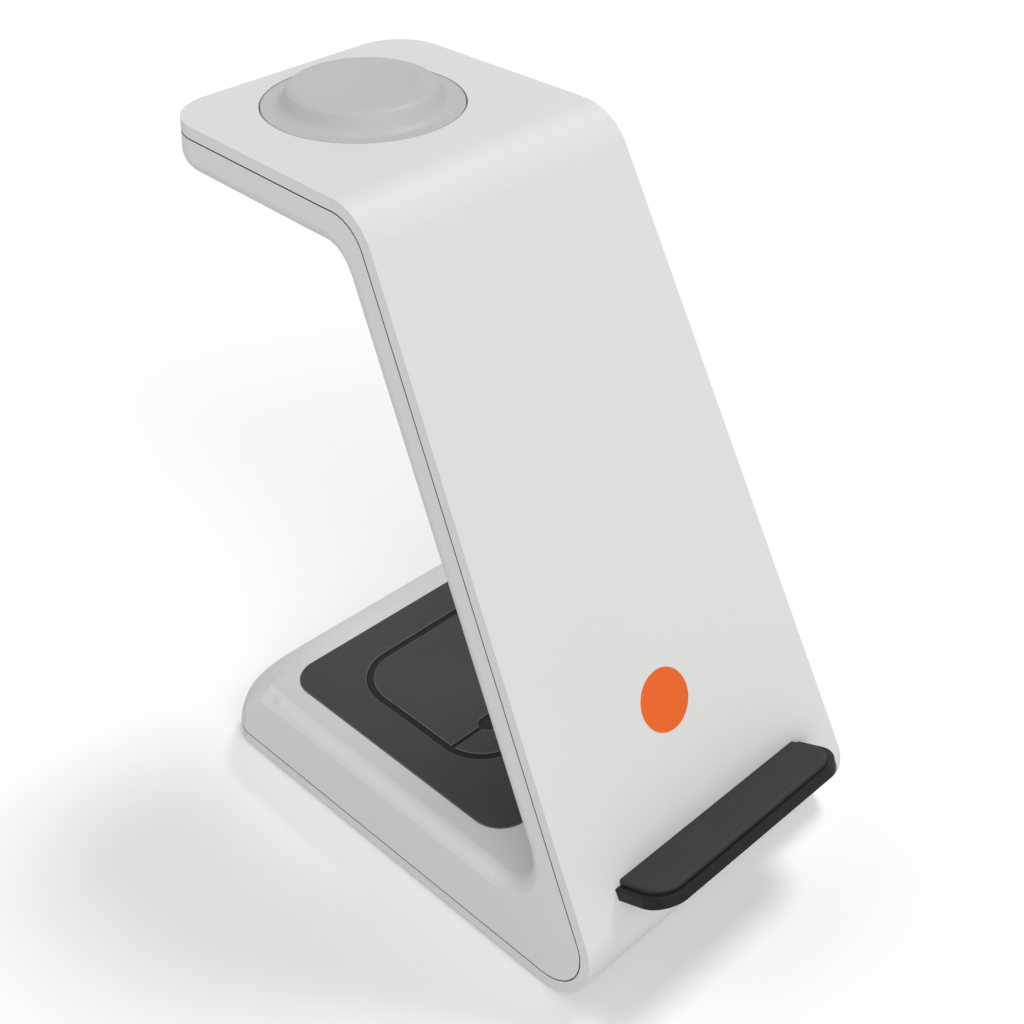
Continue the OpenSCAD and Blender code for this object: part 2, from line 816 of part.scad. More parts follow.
// Part soldered to the board, centred at x and y
module on_board(x, y, size) {
    place() translate([x - size[0] / 2, y - size[1] / 2, board_top]) cube(size);
}

module controller_chip() {
    color("black") on_board(-16, board_back - 8, controller_size);
}

module phone_driver_chip() {
    color("black") on_board(0, chip_y, chip_size);
}

module watch_driver_chip() {
    color("black") on_board(-18, chip_y, chip_size);
}

module earbud_driver_chip() {
    color("black") on_board(18, chip_y, chip_size);
}

module power_inductor() {
    color("dimgray") on_board(14, board_back - 8, inductor_size);
}

module phone_capacitor() {
    color("tan") on_board(0, capacitor_y, capacitor_size);
}

module watch_capacitor() {
    color("tan") on_board(-18, capacitor_y, capacitor_size);
}

module earbud_capacitor() {
    color("tan") on_board(18, capacitor_y, capacitor_size);
}

module earbud_coil() {
    color("peru") place() translate([0, case_y, roof_z]) difference() {
        disc(bud_coil_d / 2, -coil_t, 0);
        disc(bud_coil_d / 2 * coil_core, -coil_t - over, over);
    }
}

// Way of the leads past the earbud coil's edge
module bud_lead_slot() {
    translate([bud_coil_d / 2, case_y - lead_slot / 2, bud_carrier_z - over])
        cube([far, lead_slot, carrier_t + ferrite_t + 2 * over]);
}

module earbud_ferrite() {
    color("darkslategray") place() difference() {
        translate([0, case_y, 0]) disc(bud_coil_d / 2 + 2, bud_ferrite_z, bud_ferrite_z + ferrite_t);
        bud_lead_slot();
    }
}

module earbud_carrier() {
    color("ivory") place() difference() {
        union() {
            translate([0, case_y, 0]) disc(bud_coil_d / 2 + 4, bud_carrier_z, bud_ferrite_z);
            for (a = [90, 210, 330]) translate([0, case_y, bud_carrier_z]) rotate([0, 0, a])
                translate([0, -bud_ear_w / 2, 0]) cube([bud_ear_r, bud_ear_w, carrier_t]);
            for (p = bud_places) translate(p) disc(bud_ear_w / 2 + slip, bud_carrier_z, bud_ferrite_z);
        }
        for (p = bud_places) translate(p)
            disc(small_screw_d / 2 + hole_gap, bud_carrier_z - over, bud_ferrite_z + over);
        bud_lead_slot();
    }
}

module earbud_screws() {
    color("gray") place() for (p = bud_places) translate([p[0], p[1], bud_carrier_z])
        screw(small_screw_d, bud_screw_l, small_head_r, small_head_h);
}

module phone_coil(s) {
    color("peru") place() on_panel(s, 0) difference() {
        disc(phone_coil_d / 2, -coil_face - coil_t, -coil_face);
        disc(phone_coil_d / 2 * coil_core, -coil_face - coil_t - over, over);
    }
}

module lower_phone_coil() {
    phone_coil(coil_s);
}

module upper_phone_coil() {
    phone_coil(coil_s + coil_pitch);
}

// Way of the leads back between the two phone coils
module phone_lead_slot() {
    translate([-phone_lead_x - lead_slot / 2, -lead_slot, -phone_carrier_back - over])
        cube([2 * phone_lead_x + lead_slot, 2 * lead_slot, carrier_t + ferrite_t + 2 * over]);
}

module phone_ferrite() {
    color("darkslategray") place() on_panel(coils_s, 0) difference() {
        translate([0, 0, -phone_carrier_face]) linear_extrude(ferrite_t)
            round_box(phone_ferrite_w, phone_ferrite_l, ferrite_r);
        phone_lead_slot();
    }
}

module phone_carrier() {
    color("ivory") place() difference() {
        on_panel(coils_s, phone_carrier_back) linear_extrude(carrier_t)
            round_box(carrier_w, carrier_l, 3);
        on_panel(coils_s, 0) phone_lead_slot();
        for (p = carrier_places) on_panel(p[1], 0) translate([p[0], 0, 0])
            disc(small_screw_d / 2 + hole_gap, -phone_carrier_back - over, over - phone_carrier_face);
    }
}

module phone_screws() {
    color("gray") place() for (p = carrier_places) on_panel(p[1], phone_carrier_back)
        translate([p[0], 0, 0]) screw(small_screw_d, phone_screw_l, small_head_r, small_head_h);
}

// Leads of a phone coil, from the gap between the coils at s
module phone_leads(x, s) {
    flat_lead(x, concat([on_side(s, coil_face + lead_t / 2), on_side(s, lead_back)], lead_end));
}

module lower_phone_leads() {
    phone_leads(-phone_lead_x, coil_s + phone_coil_d / 2 + lead_step);
}

module upper_phone_leads() {
    phone_leads(phone_lead_x, coil_s + coil_pitch - phone_coil_d / 2 - lead_step);
}

module watch_leads() {
    start_z = puck_ceiling - coil_t - ferrite_t - watch_board_t - lead_gap;
    run_z = puck_bottom - 2.2;
    flat_lead(watch_lead_x, concat([[puck_y, body_h + start_z], [puck_y, body_h + run_z],
        [arm_start - 5, body_h + run_z], on_side((arm_z - 5) / sin(lean), lead_back)], lead_end));
}

module earbud_leads() {
    flat_lead(bud_coil_d / 2 + lead_w / 2 + lead_gap, [
        [case_y, roof_z - lead_gap], [case_y, bud_carrier_z - 3],
        [board_front + 1, board_top + lead_step], [board_front + 4, board_top + lead_step]
    ]);
}

outer_shell();
inner_shell();
base_pad();
watch_puck();
ledge_bracket();
ledge_pad();
front_left_foot();
front_right_foot();
rear_left_foot();
rear_right_foot();
usb_shell();
usb_tongue();
case_screws();
ledge_screws();
base_weight();
main_board();
board_screws();
controller_chip();
phone_driver_chip();
watch_driver_chip();
earbud_driver_chip();
power_inductor();
phone_capacitor();
watch_capacitor();
earbud_capacitor();
earbud_coil();
earbud_ferrite();
earbud_carrier();
earbud_screws();
lower_phone_coil();
upper_phone_coil();
phone_ferrite();
phone_carrier();
phone_screws();
watch_coil();
watch_ferrite();
watch_magnet();
watch_board();
puck_cap();
lower_phone_leads();
upper_phone_leads();
watch_leads();
earbud_leads();
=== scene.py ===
# %% [markdown]
# # Dressing a charging stand
# The stand is a white moulded band bent twice: a base, a leaning panel for a phone and a level
# arm for a watch. A grey puck, a dark rubber pad and a black ledge are let into it.
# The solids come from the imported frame. Here each part that shows gets its soft edges and a
# finish made of shader nodes, and then a camera, plain lights and a floor.

# %% Load the frame
import json
import math

import bmesh
import bpy
from mathutils import Matrix, Vector
from mathutils.bvhtree import BVHTree


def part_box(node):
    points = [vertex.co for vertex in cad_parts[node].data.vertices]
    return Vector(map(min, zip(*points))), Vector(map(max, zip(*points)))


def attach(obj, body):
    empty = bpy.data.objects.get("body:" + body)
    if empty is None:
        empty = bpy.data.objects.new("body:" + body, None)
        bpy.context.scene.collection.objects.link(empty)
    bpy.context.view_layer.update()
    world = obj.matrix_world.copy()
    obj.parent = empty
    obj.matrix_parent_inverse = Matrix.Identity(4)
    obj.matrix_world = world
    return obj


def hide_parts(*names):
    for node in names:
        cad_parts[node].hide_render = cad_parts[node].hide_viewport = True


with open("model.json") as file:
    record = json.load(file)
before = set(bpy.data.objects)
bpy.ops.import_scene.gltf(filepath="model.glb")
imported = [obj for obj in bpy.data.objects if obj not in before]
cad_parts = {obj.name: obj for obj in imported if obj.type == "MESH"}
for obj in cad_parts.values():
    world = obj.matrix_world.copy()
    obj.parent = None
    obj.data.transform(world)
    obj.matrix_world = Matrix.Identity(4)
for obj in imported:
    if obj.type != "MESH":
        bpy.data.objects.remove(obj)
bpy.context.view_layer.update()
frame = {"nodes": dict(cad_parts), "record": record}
mm = 0.001
print("solids in the frame:", len(frame["nodes"]))

# %% [markdown]
# ## Where the phone panel lies
# The panel leans back, so places on it are easiest to give as a distance up the panel.
# One matrix turns such a place into the frame: X across, Y up the panel, Z out of its face.

# %% The panel's own frame
lean = math.radians(63.1)
front_line_y = -79.403 * mm
shell_lift = 0.8 * mm


def on_panel(up):
    """Frame on the panel's front face, that far up from the front corner line."""
    place = Vector((0, front_line_y + up * math.cos(lean), shell_lift + up * math.sin(lean)))
    return Matrix.Translation(place) @ Matrix.Rotation(lean, 4, "X")


print("panel leans at", round(math.degrees(lean), 1), "degrees")

# %% [markdown]
# ## Camera first
# The camera stands where the photographer's stood: above, in front and to the left, looking
# down by 36 degrees. It was worked out from the straight edges of the stand.

# %% Camera
sensor_width = 36
lens_length = 57.13
camera_place = (-0.2285, -0.2273, 0.3184)
looks_down = 35.96
turned_right = 44.74
lens_data = bpy.data.cameras.new("studio_camera")
lens_data.sensor_width = sensor_width
lens_data.lens = lens_length
camera = bpy.data.objects.new("studio_camera", lens_data)
bpy.context.collection.objects.link(camera)
camera.location = camera_place
camera.rotation_euler = (math.radians(90 - looks_down), 0, math.radians(-turned_right))
bpy.context.scene.camera = camera
print("camera height in mm:", round(camera.location.z / mm, 1))

# %% [markdown]
# ## Two shared effects
# Every moulded or rubber part has the same two things at a different size: a fine grain from
# the mould, and very slow changes of tone and gloss over the surface. They are made once as
# shader node groups. A group only hands out colour, roughness and height.

# %% Helper for node groups
def new_group(name, takes, gives):
    """A shader node group with named sockets, given as (name, kind, start value)."""
    group = bpy.data.node_groups.new(name, "ShaderNodeTree")
    for label, kind, start in takes:
        socket = group.interface.new_socket(name=label, in_out="INPUT", socket_type=kind)
        socket.default_value = start
    for label, kind in gives:
        group.interface.new_socket(name=label, in_out="OUTPUT", socket_type=kind)
    enter = group.nodes.new("NodeGroupInput")
    leave = group.nodes.new("NodeGroupOutput")
    return group, enter, leave


def link(tree, source, target):
    tree.links.new(source, target)


# %% Slow changes of tone and gloss
tone_group, enter, leave = new_group(
    "slow_tone",
    [("Light Tone", "NodeSocketColor", (1, 1, 1, 1)),
     ("Dark Tone", "NodeSocketColor", (0.9, 0.9, 0.9, 1)),
     ("Gloss Low", "NodeSocketFloat", 0.4), ("Gloss High", "NodeSocketFloat", 0.5),
     ("Patch Scale", "NodeSocketFloat", 25.0)],
    [("Color", "NodeSocketColor"), ("Roughness", "NodeSocketFloat")])
place = tone_group.nodes.new("ShaderNodeTexCoord")
clouds = tone_group.nodes.new("ShaderNodeTexNoise")
clouds.inputs["Detail"].default_value = 3
mix = tone_group.nodes.new("ShaderNodeMix")
mix.data_type = "RGBA"
spread = tone_group.nodes.new("ShaderNodeMapRange")
spread.inputs["From Min"].default_value = 0.3
spread.inputs["From Max"].default_value = 0.7
link(tone_group, place.outputs["Object"], clouds.inputs["Vector"])
link(tone_group, enter.outputs["Patch Scale"], clouds.inputs["Scale"])
link(tone_group, clouds.outputs["Fac"], mix.inputs["Factor"])
link(tone_group, enter.outputs["Light Tone"], mix.inputs["A"])
link(tone_group, enter.outputs["Dark Tone"], mix.inputs["B"])
link(tone_group, mix.outputs["Result"], leave.inputs["Color"])
link(tone_group, clouds.outputs["Fac"], spread.inputs["Value"])
link(tone_group, enter.outputs["Gloss Low"], spread.inputs["To Min"])
link(tone_group, enter.outputs["Gloss High"], spread.inputs["To Max"])
link(tone_group, spread.outputs["Result"], leave.inputs["Roughness"])
print("sockets of slow_tone:", len(tone_group.interface.items_tree))

# %% Fine mould grain
grain_group, enter, leave = new_group(
    "mould_grain",
    [("Grain Scale", "NodeSocketFloat", 2500.0), ("Pits", "NodeSocketFloat", 0.3)],
    [("Height", "NodeSocketFloat")])
place = grain_group.nodes.new("ShaderNodeTexCoord")
grain = grain_group.nodes.new("ShaderNodeTexNoise")
grain.inputs["Detail"].default_value = 2
pits = grain_group.nodes.new("ShaderNodeTexVoronoi")
blend = grain_group.nodes.new("ShaderNodeMix")
blend.data_type = "FLOAT"
link(grain_group, place.outputs["Object"], grain.inputs["Vector"])
link(grain_group, place.outputs["Object"], pits.inputs["Vector"])
link(grain_group, enter.outputs["Grain Scale"], grain.inputs["Scale"])
link(grain_group, enter.outputs["Grain Scale"], pits.inputs["Scale"])
link(grain_group, enter.outputs["Pits"], blend.inputs["Factor"])
link(grain_group, grain.outputs["Fac"], blend.inputs["A"])
link(grain_group, pits.outputs["Distance"], blend.inputs["B"])
link(grain_group, blend.outputs["Result"], leave.inputs["Height"])
print("sockets of mould_grain:", len(grain_group.interface.items_tree))


# %% A finish made with both groups
def grey(level):
    """Linear colour of a screen grey, or of a screen colour as three numbers from 0 to 255."""
    three = level if isinstance(level, tuple) else (level, level, level)
    return tuple(((c / 255 + 0.055) / 1.055) ** 2.4 for c in three) + (1,)


def finish(name, light, dark, gloss, grain_scale, bump, pits=0.3, metallic=0, patch=25, shine=0.5):
    """A material: two tones that drift into each other, a range of gloss, and a grain."""
    material = bpy.data.materials.new(name)
    material.use_nodes = True
    tree = material.node_tree
    shader = tree.nodes["Principled BSDF"]
    shader.inputs["Metallic"].default_value = metallic
    shader.inputs["Specular IOR Level"].default_value = shine
    tone = tree.nodes.new("ShaderNodeGroup")
    tone.node_tree = tone_group
    tone.inputs["Light Tone"].default_value = grey(light)
    tone.inputs["Dark Tone"].default_value = grey(dark)
    tone.inputs["Gloss Low"].default_value = gloss[0]
    tone.inputs["Gloss High"].default_value = gloss[1]
    tone.inputs["Patch Scale"].default_value = patch
    rough = tree.nodes.new("ShaderNodeGroup")
    rough.node_tree = grain_group
    rough.inputs["Grain Scale"].default_value = grain_scale
    rough.inputs["Pits"].default_value = pits
    relief = tree.nodes.new("ShaderNodeBump")
    relief.inputs["Strength"].default_value = bump
    relief.inputs["Distance"].default_value = 0.1 * mm
    link(tree, tone.outputs["Color"], shader.inputs["Base Color"])
    link(tree, tone.outputs["Roughness"], shader.inputs["Roughness"])
    link(tree, rough.outputs["Height"], relief.inputs["Height"])
    link(tree, relief.outputs["Normal"], shader.inputs["Normal"])
    return material


# %% [markdown]
# ## The finishes that show
# The band is a near-white plastic with a silky surface. The puck is a warm grey and a little
# glossier. The pad and the ledge strip are soft dark rubber with a fine matt grain, and the
# bracket under the strip is a darker, harder plastic. Where two pieces leave a narrow gap, its
# walls get a near-black painted shade, because hardly any light comes back out of the gap.

# %% Finishes that show
shell_white = finish(
    "shell_white", (221, 221, 219), (217, 217, 215), (0.42, 0.5), 3200, 0.10, shine=0.2)
# A near-black painted shade for the walls of the narrow gap at the seam.
painted_seam_shade = finish("painted_seam_shade", (24, 24, 24), (20, 20, 20), (0.8, 0.9), 3200, 0.1, shine=0.05)
puck_grey = finish(
    "puck_grey", (189, 188, 186), (185, 184, 182), (0.34, 0.42), 4200, 0.05, shine=0.15)
pad_rubber = finish(
    "pad_rubber", (70, 70, 72), (65, 65, 67), (0.55, 0.66), 2600, 0.22, pits=0.6, shine=0.15)
pad_line = finish("pad_line", (44, 44, 45), (40, 40, 41), (0.6, 0.7), 2600, 0.1, shine=0.1)
# A lighter grey, painted as the highlight on the pad's rounded rims.
painted_rim_highlight = finish("painted_rim_highlight", (112, 112, 112), (104, 104, 104), (0.5, 0.6), 2600, 0.1, shine=0.2)
ledge_rubber = finish(
    "ledge_rubber", (58, 58, 60), (54, 54, 56), (0.5, 0.6), 2600, 0.2, pits=0.6, shine=0.15)
bracket_black = finish(
    "bracket_black", (27, 27, 27), (23, 23, 23), (0.38, 0.48), 2200, 0.14, shine=0.2)
accent_orange = finish(
    "accent_orange", (236, 104, 40), (228, 98, 36), (0.4, 0.46), 3600, 0.05, shine=0.2)
shown = [shell_white, painted_seam_shade, puck_grey, pad_rubber, pad_line, painted_rim_highlight, ledge_rubber,
         bracket_black, accent_orange]
print("finishes that show:", len(shown))

# %% [markdown]
# ## The finishes inside and underneath
# Solids that keep their own shape only get a better material in their slot. Most of them are
# closed in by the shells, but whoever opens the model up finds steel, copper and ferrite.

# %% Finishes inside
inside = {
    "foot_rubber": finish(
        "foot_black", (44, 44, 45), (38, 38, 39), (0.6, 0.7), 2400, 0.25, pits=0.6),
    "bright_steel": finish(
        "drawn_steel", (205, 205, 208), (190, 190, 194), (0.2, 0.32), 3000, 0.05, metallic=1),
    "screw_steel": finish(
        "zinc_plate", (178, 180, 184), (160, 162, 168), (0.28, 0.4), 3000, 0.08, metallic=1),
    "ballast_steel": finish(
        "sheet_steel", (150, 152, 155), (132, 134, 138), (0.35, 0.55), 900, 0.1, metallic=1),
    "board_green": finish("board_green", (30, 96, 58), (24, 84, 50), (0.25, 0.35), 1500, 0.06),
    "chip_black": finish("chip_black", (34, 34, 36), (28, 28, 30), (0.5, 0.62), 2600, 0.12),
    "inductor_grey": finish(
        "pressed_powder", (72, 72, 74), (60, 60, 62), (0.55, 0.7), 2000, 0.25, pits=0.7),
    "capacitor_tan": finish(
        "ceramic_tan", (170, 134, 92), (156, 122, 82), (0.4, 0.5), 1800, 0.08),
    "copper": finish(
        "litz_copper", (190, 110, 66), (166, 92, 54), (0.25, 0.4), 1400, 0.3, metallic=1, patch=400),
    "ferrite": finish(
        "sintered_ferrite", (52, 52, 54), (44, 44, 46), (0.6, 0.75), 1600, 0.3, pits=0.8),
    "carrier_plastic": finish(
        "carrier_cream", (214, 208, 190), (206, 200, 182), (0.45, 0.55), 2200, 0.1),
    "magnet_nickel": finish(
        "bright_nickel", (196, 194, 188), (184, 182, 176), (0.12, 0.2), 3000, 0.03, metallic=1),
    "lead_red": finish("lead_silicone", (150, 36, 30), (138, 30, 26), (0.4, 0.5), 2400, 0.08),
    "black_plastic": bracket_black,
}
slot_of = {part["node"]: part["material_slot"] for part in frame["record"]["subparts"]}
kept = [name for name, slot in slot_of.items() if slot in inside and name != "ledge_bracket"]
for name in kept:
    frame["nodes"][name].material_slots[0].material = inside[slot_of[name]]
print("solids kept as they are:", len(kept))

# %% [markdown]
# ## From a solid to a piece
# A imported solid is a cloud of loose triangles. A copy of it is merged, so that neighbours
# share their corners, and flat areas are joined into one face each. Then its outer edges can
# be found and rounded, as a mould maker breaks every edge that a hand can touch.

# %% Copy, merge and join the flat areas
weld = 0.001 * mm


def merged_copy(node):
    """Closed copy of a solid, with each flat area as one face."""
    shape = bmesh.new()
    shape.from_mesh(frame["nodes"][node].data)
    bmesh.ops.remove_doubles(shape, verts=shape.verts, dist=weld)
    bmesh.ops.dissolve_limit(shape, angle_limit=math.radians(0.3), verts=shape.verts, edges=shape.edges)
    shape.normal_update()
    return shape


# %% Find the edges that a hand can touch
def open_edges(shape, neighbours, reach=30 * mm, bend=35):
    """Convex edges sharper than bend that look out into free space."""
    tree = BVHTree.FromBMesh(shape)
    others = [BVHTree.FromBMesh(other) for other in neighbours]
    found = []
    for edge in shape.edges:
        if len(edge.link_faces) != 2 or edge.calc_face_angle_signed() < math.radians(bend):
            continue
        middle = (edge.verts[0].co + edge.verts[1].co) / 2
        out = (edge.link_faces[0].normal + edge.link_faces[1].normal).normalized()
        start = middle + out * 0.02 * mm
        if all(one.ray_cast(start, out, reach)[0] is None for one in [tree] + others):
            found.append(edge)
    return found


# %% Round edges and turn a shape into a piece
def round_edges(shape, edges, width, segments=3):
    bmesh.ops.bevel(shape, geom=edges, offset=width, offset_type="OFFSET", segments=segments,
                    profile=0.5, affect="EDGES", clamp_overlap=True, material=-1)


def make_piece(name, shape, materials, nodes):
    """Mesh object at the origin that rides on the stand and stands for those solids."""
    mesh = bpy.data.meshes.new(name)
    shape.to_mesh(mesh)
    shape.free()
    for material in materials:
        mesh.materials.append(material)
    mesh.polygons.foreach_set("use_smooth", [True] * len(mesh.polygons))
    mesh.set_sharp_from_angle(angle=math.radians(30))
    piece = bpy.data.objects.new(name, mesh)
    bpy.context.collection.objects.link(piece)
    even = piece.modifiers.new("even_shading", "WEIGHTED_NORMAL")
    even.keep_sharp = True
    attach(piece, "root")
    if nodes:
        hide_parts(*nodes)
    print(name, "has", len(mesh.polygons), "faces")
    return piece


# %% [markdown]
# ## The outer shell
# One moulding makes the underside, the phone panel and the top of the arm. Its outer edge has
# a rounding of about half a millimetre that catches a thin line of light. Its lip at the seam
# stays sharp, and the faces in the seam get a near-black painted shade for the dark gap. Whether
# an edge is a lip shows when a short ray meets the other shell.

# %% Outer shell
outer = merged_copy("outer_shell")
inner = merged_copy("inner_shell")
inner_tree = BVHTree.FromBMesh(inner)


def lip_face(edge, tree):
    """The face of an edge that looks straight at the other shell, if there is one."""
    middle = (edge.verts[0].co + edge.verts[1].co) / 2
    along = (edge.verts[1].co - edge.verts[0].co).normalized()
    for face, other in (edge.link_faces, reversed(edge.link_faces)):
        side = along.cross(face.normal)
        side = side if side.dot(other.normal) < 0 else -side
        start = middle + side * 0.2 * mm + face.normal * 0.01 * mm
        if tree.ray_cast(start, face.normal, 1 * mm)[0] is not None:
            return face
    return None


def paint_seam_shade(shape, other_tree):
    """Give every face that lies in the narrow gap between the two shells the second material, a painted
    shade.
    """
    count = 0
    for face in shape.faces:
        start = face.calc_center_median() + face.normal * 0.1 * mm
        gap = other_tree.find_nearest(start, 0.4 * mm)[3]
        if gap is not None:
            face.material_index = 1
            count += 1
    return count


touched = open_edges(outer, [inner])
lips = {edge: lip_face(edge, inner_tree) for edge in touched}
lips = {edge: face for edge, face in lips.items() if face}
rims = [edge for edge in touched if edge not in lips]
# The lip faces get that near-black painted shade too.
for face in lips.values():
    face.material_index = 1
print("outer shell: outer edges", len(rims), "lip edges", len(lips))
outer_tree = BVHTree.FromBMesh(outer)
round_edges(outer, rims, 0.45 * mm)
print("faces in the seam:", paint_seam_shade(outer, inner_tree))
make_piece("outer_band", outer, [shell_white, painted_seam_shade], ["outer_shell"])

# %% [markdown]
# ## The inner shell
# The second moulding closes the band from the inside. Its side edges are already softly
# rounded in the solid, so only the seam lip and the rim of the pad's recess are broken here.
# Where two of those rounded edges meet the upright corner of the base, the real corner is one
# soft swelling. The solid has a crease there. So the faces round each upper back corner are
# cut free by flat planes, divided finely and relaxed, which lets the three curves run together.

# %% Upper back corners of the base
corner_width = 32 * mm
corner_depth = 38 * mm
corner_low = 5 * mm
corner_high = 30 * mm
pad_margin = 0.8 * mm
relax_turns = 50
pad_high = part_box("base_pad")[1]
base_back = max(vert.co.y for vert in inner.verts if vert.co.z < 12 * mm)
base_side = max(vert.co.x for vert in inner.verts if vert.co.z < 12 * mm)


def in_corner(place):
    """True for a place in the block round an upper back corner, outside the pad and over the seam."""
    beside_pad = abs(place.x) > pad_high[0] + pad_margin or place.y > pad_high[1] + pad_margin
    return (abs(place.x) > base_side - corner_width and place.y > base_back - corner_depth
            and corner_low < place.z < corner_high and beside_pad)


def once(items):
    """The items without repeats, in the order in which they came, so that each run is alike."""
    return list(dict.fromkeys(items))


def is_open(face, tree):
    """True if a ray from the face's middle meets nothing."""
    start = face.calc_center_median() + face.normal * 0.02 * mm
    return tree.ray_cast(start, face.normal, 100 * mm)[0] is None


def corner_faces(shape, tree):
    """Faces of a corner block that look out into the open, and their neighbours in the block."""
    fresh = [face for face in shape.faces
             if in_corner(face.calc_center_median()) and is_open(face, tree)]
    found = dict.fromkeys(fresh)
    while fresh:
        beside = once(other for face in fresh for edge in face.edges for other in edge.link_faces)
        fresh = [face for face in beside if face not in found and in_corner(face.calc_center_median())]
        found.update(dict.fromkeys(fresh))
    return list(found)


cuts = [((side * (base_side - corner_width), 0, 0), (1, 0, 0)) for side in (-1, 1)]
cuts += [((0, base_back - corner_depth, 0), (0, 1, 0)), ((0, 0, corner_low), (0, 0, 1)),
         ((0, pad_high[1] + pad_margin, 0), (0, 1, 0))]
cuts += [((side * (pad_high[0] + pad_margin), 0, 0), (1, 0, 0)) for side in (-1, 1)]


def base_faces(shape):
    """Faces of the back half of the base."""
    return [face for face in shape.faces if face.calc_center_median().y > 0
            and min(vert.co.z for vert in face.verts) < corner_high]


bmesh.ops.triangulate(inner, faces=base_faces(inner))
for point, normal in cuts:
    near = base_faces(inner)
    parts = near + once(edge for face in near for edge in face.edges)
    parts += once(vert for face in near for vert in face.verts)
    bmesh.ops.bisect_plane(inner, geom=parts, dist=weld, plane_co=point, plane_no=normal)
inner_now = BVHTree.FromBMesh(inner)
bmesh.ops.triangulate(inner, faces=corner_faces(inner, inner_now))
for finest in (4, 2, 1.2):
    long_edges = once(edge for face in corner_faces(inner, inner_now) for edge in face.edges
                      if edge.calc_length() > finest * mm)
    bmesh.ops.subdivide_edges(inner, edges=long_edges, cuts=1)
    bmesh.ops.triangulate(inner, faces=corner_faces(inner, inner_now))
block = dict.fromkeys(corner_faces(inner, inner_now))
within = [edge for edge in once(edge for face in block for edge in face.edges)
          if all(face in block for face in edge.link_faces)]
bmesh.ops.beautify_fill(inner, faces=list(block), edges=within)
block = dict.fromkeys(corner_faces(inner, inner_now))
free = [vert for vert in once(vert for face in block for vert in face.verts)
        if all(face in block for face in vert.link_faces)]
for turn in range(relax_turns):
    bmesh.ops.smooth_vert(inner, verts=free, factor=0.5,
                          use_axis_x=True, use_axis_y=True, use_axis_z=True)
inner.normal_update()
print("corner faces:", len(block), "moved points:", len(free))

# %% Inner shell
touched = open_edges(inner, [])
print("inner shell: edges to break", len(touched))
# The inner lip faces get the near-black painted shade of the gap.
for face in [lip_face(edge, outer_tree) for edge in touched]:
    if face:
        face.material_index = 1
round_edges(inner, touched, 0.15 * mm, segments=2)
print("faces in the seam:", paint_seam_shade(inner, outer_tree))
make_piece("inner_band", inner, [shell_white, painted_seam_shade], ["inner_shell"])

# %% [markdown]
# ## The base pad
# A rubber sheet let into the base, with the outline of an earbud case pressed into it. The
# floor of the pressed lines is darker and smoother, so those faces get a finish of their own.
# The rounded rims get a lighter grey, a painted highlight for the thin line of light they catch.

# %% Base pad
pad = merged_copy("base_pad")
pad_top = max(vert.co.z for vert in pad.verts)
for face in pad.faces:
    level = face.calc_center_median().z
    if face.normal.z > 0.9 and level < pad_top - 0.2 * mm:
        face.material_index = 1
print("pressed faces:", sum(face.material_index for face in pad.faces))
round_edges(pad, open_edges(pad, [], bend=60), 0.16 * mm, segments=2)
# The rounded rims at the top get the lighter painted highlight.
for face in pad.faces:
    level = face.calc_center_median().z
    if 0.2 < face.normal.z < 0.95 and level > pad_top - 0.3 * mm:
        face.material_index = 2
make_piece("rubber_pad", pad, [pad_rubber, pad_line, painted_rim_highlight], ["base_pad"])

# %% [markdown]
# ## The watch puck
# A turned shape: a flat ring, a cove that rises to the rim, a soft rim and a shallow dish. Half
# of its section is drawn as one face, its corners are rounded, then the face and its edge on
# the axis go, and the open outline is spun round the axis, as a potter's rib shapes a bowl.

# %% Puck section and spin
rim_height = 4.5
steps_round = 128
low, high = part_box("watch_puck")
puck_y = (low[1] + high[1]) / 2
arm_top = high[2] - rim_height * mm
section = bmesh.new()
# Each corner: radius, height over the arm, and rounding, in millimetres.
corners = [
    (0, 2.6, 0), (6.9, 2.6, 6.6), (13.8, rim_height, 0.3), (17.2, rim_height, 1.1),
    (20.0, 0, 1.9), (23.75, 0, 0.25), (23.9, -2.4, 0), (26, -2.4, 0), (26, -3.6, 0),
    (17.4, -3.6, 0), (17.4, -1.8, 0), (15.4, -1.8, 0), (15.4, 1.7, 0), (0, 1.7, 0),
]
verts = [section.verts.new((x * mm, puck_y, arm_top + z * mm)) for x, z, soft in corners]
section.faces.new(verts)
for vert, (x, z, soft) in zip(verts, corners):
    if soft:
        bmesh.ops.bevel(section, geom=[vert], offset=soft * mm, offset_type="OFFSET", segments=10,
                        profile=0.5, affect="VERTICES", clamp_overlap=True, material=-1)
on_axis = [edge for edge in section.edges if all(abs(vert.co.x) < weld for vert in edge.verts)]
bmesh.ops.delete(section, geom=on_axis, context="EDGES")
bmesh.ops.spin(section, geom=list(section.edges), cent=(0, puck_y, 0), axis=(0, 0, 1),
               angle=math.tau, steps=steps_round, use_merge=True)
bmesh.ops.remove_doubles(section, verts=section.verts, dist=weld)
bmesh.ops.recalc_face_normals(section, faces=section.faces)
print("open edges of the puck:", sum(1 for edge in section.edges if not edge.is_manifold))
make_piece("puck_body", section, [puck_grey], ["watch_puck"])

# %% [markdown]
# ## The ledge
# A hard bracket carries a soft strip. The strip's outer edges are rounded by 0.7 millimetres
# and show as a lighter line. The bracket's edges are only just broken.

